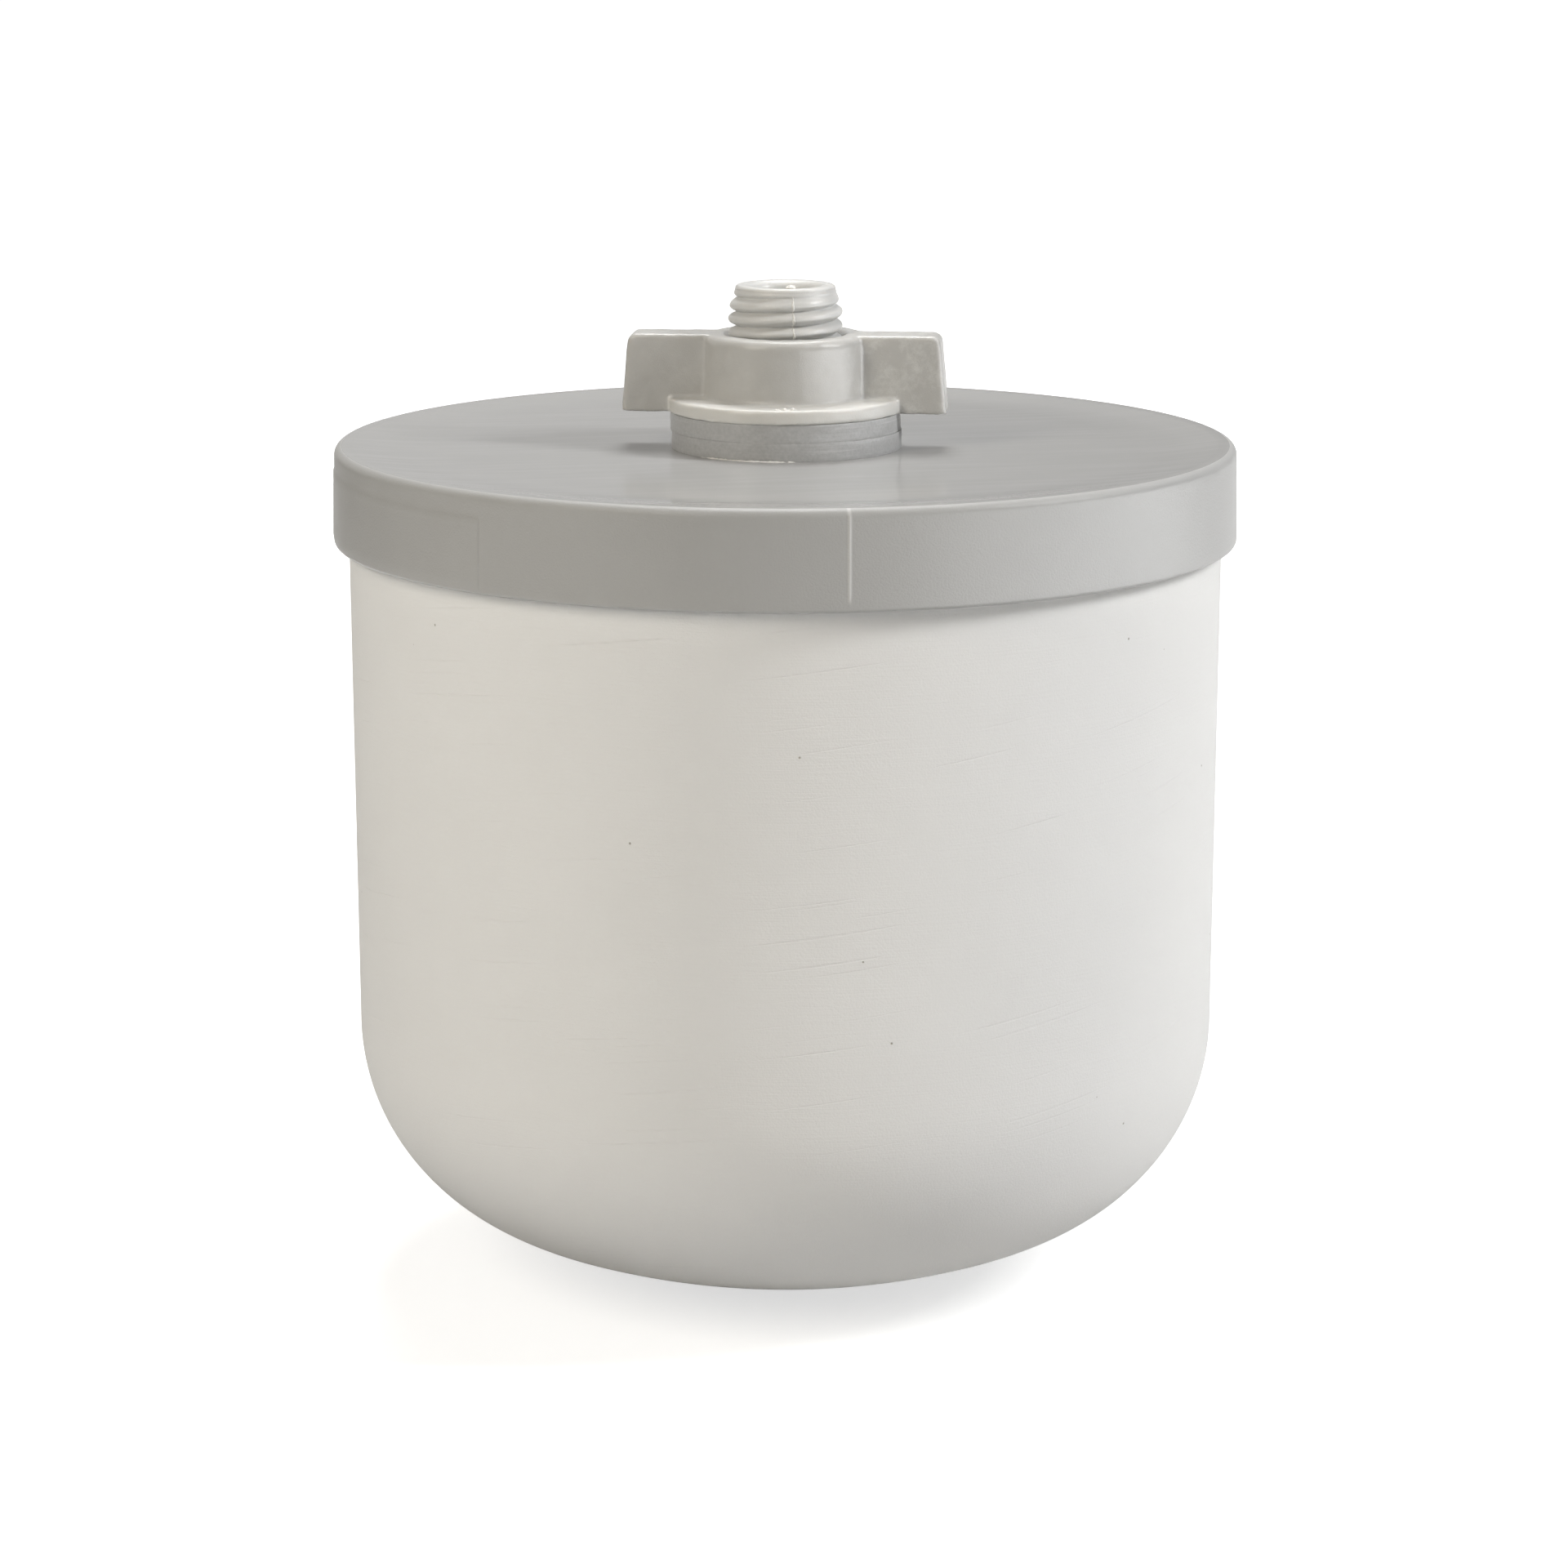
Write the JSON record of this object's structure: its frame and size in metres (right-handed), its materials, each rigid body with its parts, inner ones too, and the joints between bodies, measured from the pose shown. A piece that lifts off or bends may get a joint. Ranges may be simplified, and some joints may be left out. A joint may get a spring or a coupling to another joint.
{
  "type": "water dispenser filter element",
  "caption": "Hollow porous ceramic dome sealed into a skirted plastic cap, with a threaded outlet stem, sealing washers and a wing nut; filters water in a table dispenser.",
  "frame": {"origin": "middle of the small flat at the dome's pole, on the element's axis", "axes": "+Z along the axis, from the dome towards the outlet stem; +X along the wings, to the right seen from the front; -Y is the front"},
  "size_m": [0.0951, 0.095, 0.1054],
  "materials": {
    "porous_ceramic": "matt, unglazed, finely porous",
    "cured_adhesive": "cured, dull",
    "grey_moulding": "moulded, satin gloss",
    "pale_moulding": "moulded, satin gloss",
    "washer_rubber": "moulded, satin"
  },
  "bodies": {
    "filter": {"ceramic_dome": "porous_ceramic", "bond_ring": "cured_adhesive", "end_cap": "grey_moulding", "outlet_stem": "pale_moulding", "lower_washer": "washer_rubber"},
    "pinched_washer": {"upper_washer": "washer_rubber"},
    "nut": {"wing_nut": "pale_moulding"}
  },
  "joints": [
    {"name": "nut_turn", "type": "hinge", "parent": "filter", "child": "pinched_washer", "pos_m": [0, 0, 0.0912], "axis": [0, 0, 1], "range_deg": [0, 2520]},
    {"name": "nut_climb", "type": "slide", "parent": "pinched_washer", "child": "nut", "axis": [0, 0, 1], "range_m": [0, 0.01051]}
  ],
  "couplings": [
    {"joint": "nut_climb", "follows": "nut_turn", "m_per_rad": 0.00023873}
  ]
}
